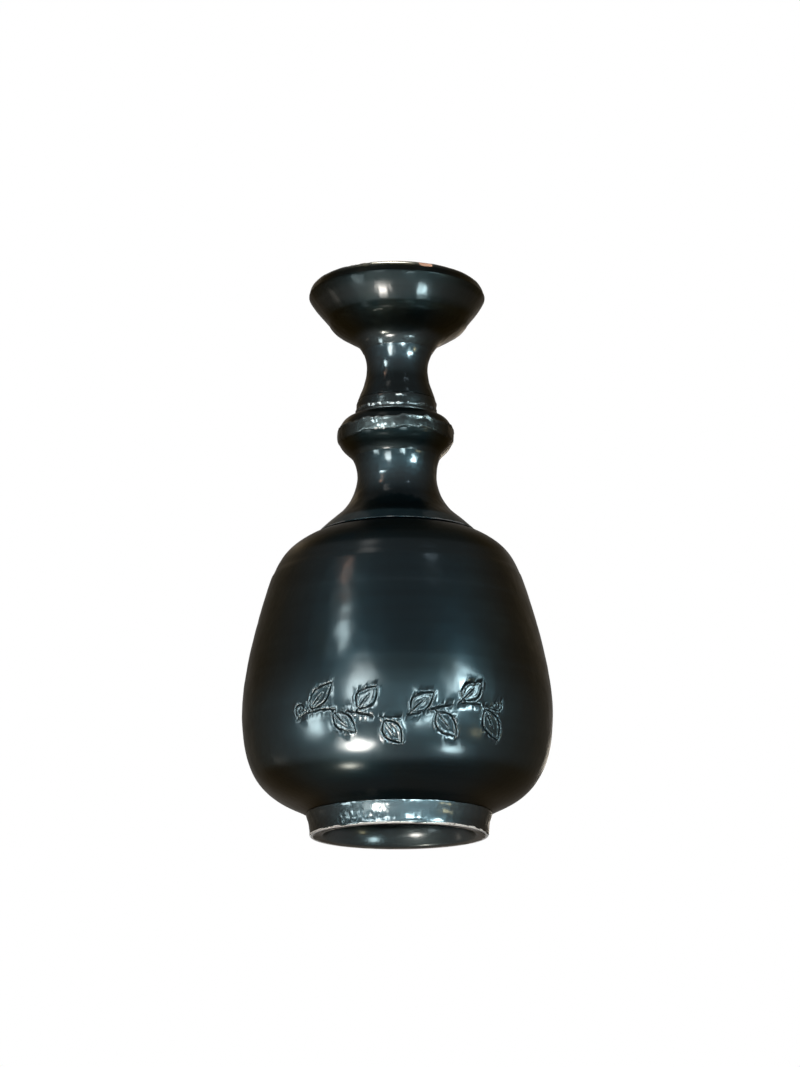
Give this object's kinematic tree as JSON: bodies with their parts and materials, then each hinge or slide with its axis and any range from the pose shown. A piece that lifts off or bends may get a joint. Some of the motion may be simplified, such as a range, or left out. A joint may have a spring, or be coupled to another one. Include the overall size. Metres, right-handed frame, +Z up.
{
  "type": "bud vase",
  "caption": "Footed round vase with a flanged neck, a rounded collar ring, a slim stem and a flared cup mouth, in black glazed ceramic.",
  "frame": {"origin": "centre of the foot ring, on the surface that the vase stands on", "axes": "+Z up along the vase's axis, from the foot to the cup mouth; +X to the right and -Y towards the viewer of the picture"},
  "size_m": [0.1088, 0.1088, 0.2],
  "materials": {
    "black_glaze": "satin-gloss black glaze with a cool grey bloom",
    "foot_glaze": "black glaze, thin and rubbed pale along the foot's edge",
    "slip_glaze": "black glaze over rough slip, uneven and shiny"
  },
  "bodies": {
    "root": {"foot_ring": "foot_glaze", "body": "black_glaze", "lower_neck": "black_glaze", "collar": "slip_glaze", "joint_coil": "slip_glaze", "upper_stem": "black_glaze", "cup": "black_glaze"}
  },
  "joints": []
}
